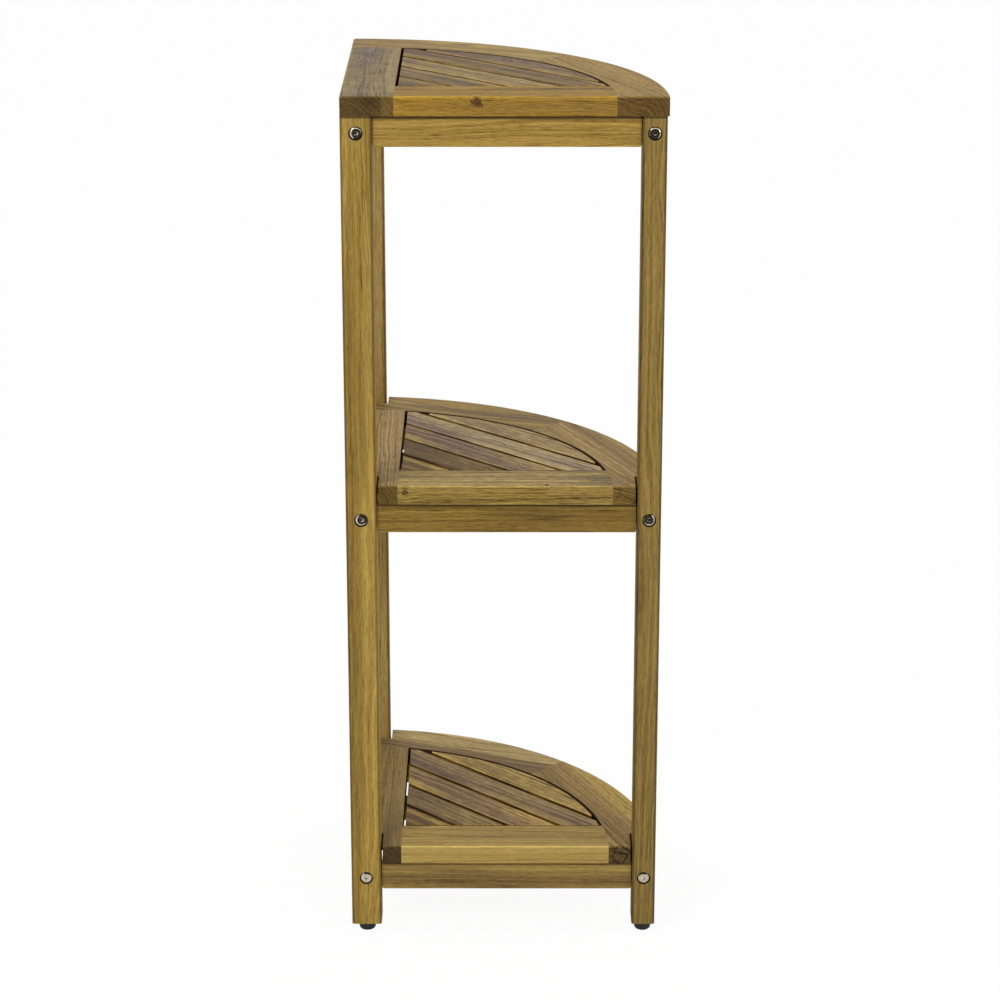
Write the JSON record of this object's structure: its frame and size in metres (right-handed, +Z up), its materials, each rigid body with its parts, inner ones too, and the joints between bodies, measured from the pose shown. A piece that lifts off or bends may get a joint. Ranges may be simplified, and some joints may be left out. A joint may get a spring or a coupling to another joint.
{
  "type": "corner shelf unit",
  "caption": "Free-standing wooden corner shelf unit with quarter-round slatted shelves bolted to square posts, on small screw-in feet.",
  "frame": {"origin": "on the floor, under the middle of the bounding box of the quarter-round shelves", "axes": "+Z up; +X along the front straight side, away from the right-angled corner; +Y along the other straight side, away from that corner"},
  "size_m": [0.33, 0.33, 0.92],
  "materials": {
    "post_wood": "oiled, satin",
    "frame_wood": "oiled, satin",
    "slat_wood": "oiled, satin",
    "under_wood": "sawn and lightly oiled",
    "nickel": "nickel plated, polished",
    "zinc": "zinc plated",
    "black_plastic": "moulded, slightly glossy"
  },
  "bodies": {
    "shelf_unit": {"post_corner": "post_wood", "post_right": "post_wood", "post_back": "post_wood", "top_side_rail": "frame_wood", "top_front_rail": "frame_wood", "top_arc_rail_right": "frame_wood", "top_arc_rail_back": "frame_wood", "top_slat_1": "slat_wood", "top_slat_2": "slat_wood", "top_slat_3": "slat_wood", "top_slat_4": "slat_wood", "top_slat_5": "slat_wood", "top_slat_battens": "under_wood", "top_front_apron": "frame_wood", "top_side_apron": "frame_wood", "top_leg_block_right": "under_wood", "top_leg_block_back": "under_wood", "middle_side_rail": "frame_wood", "middle_front_rail": "frame_wood", "middle_arc_rail_right": "frame_wood", "middle_arc_rail_back": "frame_wood", "middle_slat_1": "slat_wood", "middle_slat_2": "slat_wood", "middle_slat_3": "slat_wood", "middle_slat_4": "slat_wood", "middle_slat_5": "slat_wood", "middle_slat_battens": "under_wood", "middle_front_apron": "frame_wood", "middle_side_apron": "frame_wood", "middle_leg_block_right": "under_wood", "middle_leg_block_back": "under_wood", "bottom_side_rail": "frame_wood", "bottom_front_rail": "frame_wood", "bottom_arc_rail_right": "frame_wood", "bottom_arc_rail_back": "frame_wood", "bottom_slat_1": "slat_wood", "bottom_slat_2": "slat_wood", "bottom_slat_3": "slat_wood", "bottom_slat_4": "slat_wood", "bottom_slat_5": "slat_wood", "bottom_slat_battens": "under_wood", "bottom_front_apron": "frame_wood", "bottom_side_apron": "frame_wood", "bottom_leg_block_right": "under_wood", "bottom_leg_block_back": "under_wood", "frame_tenons": "under_wood", "corner_post_bolts": "nickel", "right_post_bolts": "nickel", "back_post_bolts": "nickel"},
    "corner_foot_stem": {"foot_stem_corner": "zinc"},
    "corner_foot_pad": {"foot_pad_corner": "black_plastic"},
    "right_foot_stem": {"foot_stem_right": "zinc"},
    "right_foot_pad": {"foot_pad_right": "black_plastic"},
    "back_foot_stem": {"foot_stem_back": "zinc"},
    "back_foot_pad": {"foot_pad_back": "black_plastic"}
  },
  "joints": [
    {"name": "corner_foot_rise", "type": "slide", "parent": "shelf_unit", "child": "corner_foot_stem", "axis": [0, 0, -1], "range_m": [0, 0.008]},
    {"name": "corner_foot_turn", "type": "hinge", "parent": "corner_foot_stem", "child": "corner_foot_pad", "pos_m": [-0.149, -0.149, 0], "axis": [0, 0, -1], "range_deg": [0, 2880]},
    {"name": "right_foot_rise", "type": "slide", "parent": "shelf_unit", "child": "right_foot_stem", "axis": [0, 0, -1], "range_m": [0, 0.008]},
    {"name": "right_foot_turn", "type": "hinge", "parent": "right_foot_stem", "child": "right_foot_pad", "pos_m": [0.1505, -0.149, 0], "axis": [0, 0, -1], "range_deg": [0, 2880]},
    {"name": "back_foot_rise", "type": "slide", "parent": "shelf_unit", "child": "back_foot_stem", "axis": [0, 0, -1], "range_m": [0, 0.008]},
    {"name": "back_foot_turn", "type": "hinge", "parent": "back_foot_stem", "child": "back_foot_pad", "pos_m": [-0.149, 0.1505, 0], "axis": [0, 0, -1], "range_deg": [0, 2880]}
  ],
  "couplings": [
    {"joint": "corner_foot_rise", "follows": "corner_foot_turn", "m_per_rad": 0.000159},
    {"joint": "right_foot_rise", "follows": "right_foot_turn", "m_per_rad": 0.000159},
    {"joint": "back_foot_rise", "follows": "back_foot_turn", "m_per_rad": 0.000159}
  ]
}
